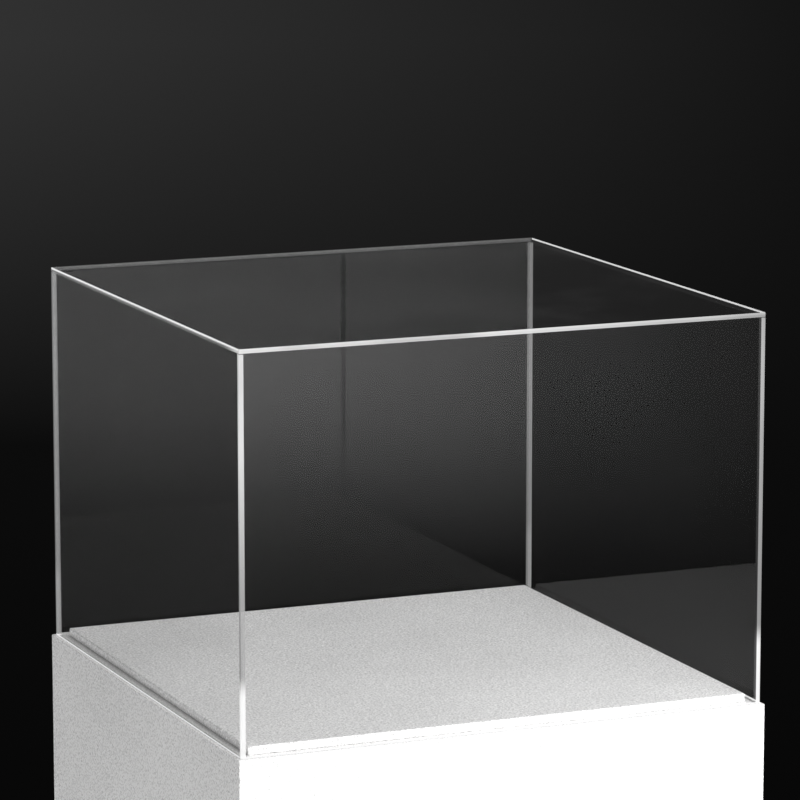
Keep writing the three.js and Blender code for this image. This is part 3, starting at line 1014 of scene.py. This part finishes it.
def foot_stem(node, insert_node):
    """A threaded stem with a chamfered hexagon, a neck and the button that the pad swivels on."""
    low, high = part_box(node)
    rise = high.z - low.z
    button = 5.5 * MM
    neck = 3 * MM
    core = 4 * MM - THREAD_DEPTH
    hex_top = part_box(insert_node)[0].z - 0.3 * MM - low.z
    hex_foot = hex_top - 5 * MM
    shaft = turned([
        (0, 0), (button - 0.5 * MM, 0), (button, 0.5 * MM), (button, 1.3 * MM),
        (button - 0.5 * MM, 1.9 * MM), (neck + 0.3 * MM, 2.7 * MM), (neck, 3.1 * MM),
        (neck, hex_foot + 1 * MM), (core, hex_foot + 1.5 * MM),
        (core, rise - 1.2 * MM), (core - 0.9 * MM, rise), (0, rise),
    ])
    ridge = thread(core, THREAD_DEPTH, THREAD_PITCH, hex_top - 0.4 * MM, rise - 0.5 * MM, 40)
    return pattern_mesh([shaft, ridge, hexagon(hex_foot, hex_top)])


def hexagon(foot, top):
    """A hexagon for a spanner, with its edges eased at both ends."""
    reach = 6.5 * MM / math.cos(math.pi / HEX_FACES)
    shape = bmesh.new()
    shape.faces.layers.float.new("eased")
    made = bmesh.ops.create_circle(shape, cap_ends=True, segments=HEX_FACES, radius=reach)["verts"]
    bmesh.ops.rotate(shape, cent=(0, 0, 0), matrix=Matrix.Rotation(math.pi / 6, 3, "Z"), verts=made)
    bmesh.ops.translate(shape, vec=(0, 0, foot), verts=made)
    lifted = bmesh.ops.extrude_face_region(shape, geom=shape.faces[:], use_keep_orig=True)["geom"]
    verts = [part for part in lifted if isinstance(part, bmesh.types.BMVert)]
    bmesh.ops.translate(shape, vec=(0, 0, top - foot), verts=verts)
    bmesh.ops.recalc_face_normals(shape, faces=shape.faces)
    rims = [edge for edge in shape.edges if rise_of(edge) < SAME_LEVEL]
    ease(shape, rims, HEX_CHAMFER, 2)
    return shape


def foot_pad(node):
    """A round swivel pad: a sloping skirt with ribs, a raised boss and a well for the button."""
    low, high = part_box(node)
    outer = (high.x - low.x) / 2
    top = high.z - low.z
    boss = 9 * MM
    well = 5.9 * MM
    hollow = 0.5 * MM
    well_floor = 2.4 * MM
    skirt = turned([
        (0, hollow), (outer - 6 * MM, hollow), (outer - 5 * MM, 0), (outer - 1.2 * MM, 0),
        (outer - 0.4 * MM, 0.25 * MM), (outer, 1 * MM), (outer, 2.9 * MM), (outer - 0.2 * MM, 3.3 * MM),
        (outer - 0.8 * MM, 3.6 * MM), (boss + 1.5 * MM, 6 * MM), (boss + 0.4 * MM, 6.4 * MM),
        (boss, 6.9 * MM), (boss, top - 0.5 * MM), (boss - 0.4 * MM, top), (well + 0.5 * MM, top),
        (well, top - 0.4 * MM), (well, well_floor), (0, well_floor),
    ])
    ribs = [pad_rib(index * math.tau / PAD_RIBS, boss, outer) for index in range(PAD_RIBS)]
    return pattern_mesh([skirt, *ribs])


def pad_rib(angle, boss, outer):
    """One low rib that runs down the pad's skirt from the boss to the rim."""
    rib = bmesh.new()
    rib.faces.layers.float.new("eased")
    made = bmesh.ops.create_cube(rib, size=1)["verts"]
    bmesh.ops.scale(rib, vec=(outer - boss - 2 * MM, 0.9 * MM, 1 * MM), verts=made)
    crest = [vert for vert in made if vert.co.z > 0]
    bmesh.ops.scale(rib, vec=(1, 0.5, 1), verts=crest)
    ease(rib, rib.edges[:], 0.12 * MM, 1)
    slope = math.atan2(2.4 * MM, outer - boss - 2.3 * MM)
    bmesh.ops.rotate(rib, cent=(0, 0, 0), matrix=Matrix.Rotation(slope, 3, "Y"), verts=rib.verts)
    bmesh.ops.translate(rib, vec=((outer + boss) / 2, 0, 4.75 * MM), verts=rib.verts)
    bmesh.ops.rotate(rib, cent=(0, 0, 0), matrix=Matrix.Rotation(angle, 3, "Z"), verts=rib.verts)
    return rib


def make_feet(steel):
    """The four levelling feet; each part is made once and copied."""
    nylon = black_nylon()
    first = CORNERS[0]
    sleeve = foot_insert(f"foot_insert_{first}")
    stem = foot_stem(f"foot_stem_{first}", f"foot_insert_{first}")
    pad = foot_pad(f"foot_pad_{first}")
    for corner in CORNERS:
        cast(sleeve, "sleeve", f"foot_insert_{corner}", steel)
        cast(stem, "screw", f"foot_stem_{corner}", steel)
        cast(pad, "moulding", f"foot_pad_{corner}", nylon)


# ---------------------------------------------------------------- the scene

def make_floor():
    """A round of floor for the object to stand on."""
    shape = bmesh.new()
    bmesh.ops.create_circle(shape, cap_ends=True, segments=128, radius=FLOOR_RADIUS)
    mesh = mesh_of("studio_floor", shape)
    mesh.materials.append(floor_tone())
    floor = bpy.data.objects.new("studio_floor", mesh)
    bpy.context.scene.collection.objects.link(floor)


place_camera()
light_the_room()
place_softboxes()
make_floor()
make_cover()
make_deck()
make_plinth()
make_timber()
steel = zinc_steel()
make_screws(steel)
make_feet(steel)
